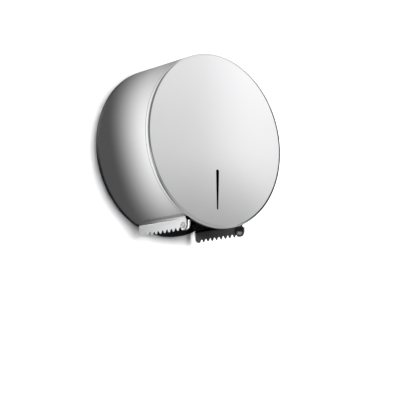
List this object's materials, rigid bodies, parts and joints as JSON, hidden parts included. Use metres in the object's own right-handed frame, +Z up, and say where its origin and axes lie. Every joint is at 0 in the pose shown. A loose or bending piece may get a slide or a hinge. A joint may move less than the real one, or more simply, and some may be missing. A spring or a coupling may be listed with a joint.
{
  "type": "jumbo toilet roll dispenser",
  "caption": "Round wall-mounted jumbo toilet roll dispenser in polished steel, with a sight slot, serrated tear blades at the open bottom and a lockable drop-down front cover.",
  "frame": {"origin": "centre line of the drum, at the wall face of the back plate, in the middle of the four wall screw holes", "axes": "+Z up, +X to the right as seen from the room, +Y into the wall, so the cover faces -Y"},
  "size_m": [0.27, 0.128, 0.2795],
  "materials": {
    "polished_steel": "mirror polished stainless steel sheet",
    "bracket_steel": "plain stainless steel sheet",
    "hinge_steel": "turned stainless steel",
    "zinc_screws": "bright zinc plated steel",
    "lock_chrome": "chrome plated lock",
    "black_plastic": "black moulded plastic, fine grain",
    "hub_plastic": "dark grey moulded plastic",
    "nylon": "natural nylon",
    "buffer_rubber": "soft black rubber"
  },
  "bodies": {
    "housing": {"back_plate": "black_plastic", "drum_band": "polished_steel", "band_screws": "zinc_screws", "spindle_post": "black_plastic", "spindle_screws": "zinc_screws", "hub_washer": "zinc_screws", "hub_screw": "zinc_screws", "left_hinge_screw": "hinge_steel", "right_hinge_screw": "hinge_steel", "hinge_washers": "nylon", "hinge_nuts": "hinge_steel", "lock_housing": "lock_chrome", "lock_nut": "lock_chrome"},
    "cover": {"front_cover": "polished_steel", "left_hinge_ear": "bracket_steel", "right_hinge_ear": "bracket_steel", "lock_keeper": "bracket_steel", "cover_buffers": "buffer_rubber"},
    "hub": {"roll_hub": "hub_plastic", "hub_cap": "black_plastic"},
    "lock": {"lock_barrel": "lock_chrome", "lock_cam": "zinc_screws", "cam_screw": "zinc_screws"}
  },
  "joints": [
    {"name": "cover_hinge", "type": "hinge", "parent": "housing", "child": "cover", "pos_m": [0, -0.115, -0.1345], "axis": [1, 0, 0], "range_deg": [0, 175]},
    {"name": "hub_spin", "type": "hinge", "parent": "housing", "child": "hub", "pos_m": [0, -0.06, 0], "axis": [0, 1, 0], "continuous": true},
    {"name": "lock_turn", "type": "hinge", "parent": "housing", "child": "lock", "pos_m": [0, -0.098, 0.13], "axis": [0, 0, -1], "range_deg": [0, 90]}
  ]
}
